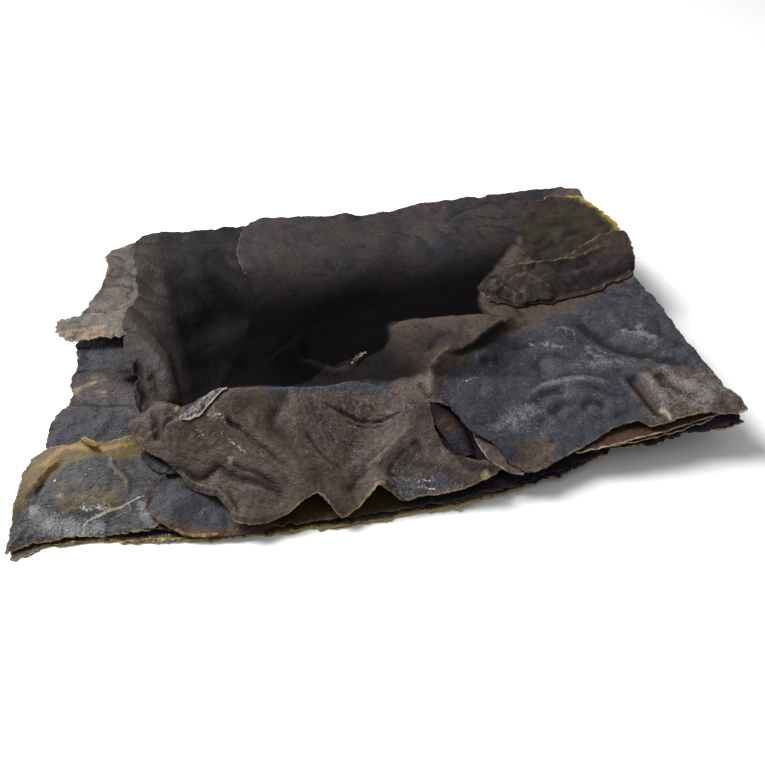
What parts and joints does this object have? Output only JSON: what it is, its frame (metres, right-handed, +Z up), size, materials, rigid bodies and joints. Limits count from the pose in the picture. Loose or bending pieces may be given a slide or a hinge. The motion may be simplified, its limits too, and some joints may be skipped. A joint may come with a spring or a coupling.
{
  "type": "dried wakame",
  "caption": "Flat bundle of dried wakame: thin crumpled leaves in uneven layers, with a high crest, torn hems and a slit in the top leaf.",
  "frame": {"origin": "middle of the bundle's footprint, on the surface that it lies on", "axes": "+X along the bundle's cut front edge, the long way; -Y towards that front edge; +Z up"},
  "size_m": [0.1801, 0.123, 0.0194],
  "materials": {
    "bottom_leaf": "satin, dry leaf",
    "middle_leaf": "satin, dry leaf",
    "left_leaf": "satin, dry leaf",
    "side_leaf": "matt, dry leaf",
    "edge_strip": "matt, dry leaf",
    "back_leaf": "satin, dry leaf",
    "left_blade": "satin, dry leaf",
    "small_blade": "satin, dry leaf",
    "top_leaf": "satin, dry leaf",
    "olive_leaf": "satin, dry leaf",
    "brown_flap": "matt, dry leaf"
  },
  "bodies": {
    "root": {"bottom_leaf": "bottom_leaf", "middle_leaf": "middle_leaf", "left_leaf": "left_leaf", "side_leaf": "side_leaf", "edge_strip": "edge_strip", "back_leaf": "back_leaf", "left_blade": "left_blade", "small_blade": "small_blade", "top_leaf": "top_leaf", "olive_leaf": "olive_leaf", "brown_flap": "brown_flap"}
  },
  "joints": []
}
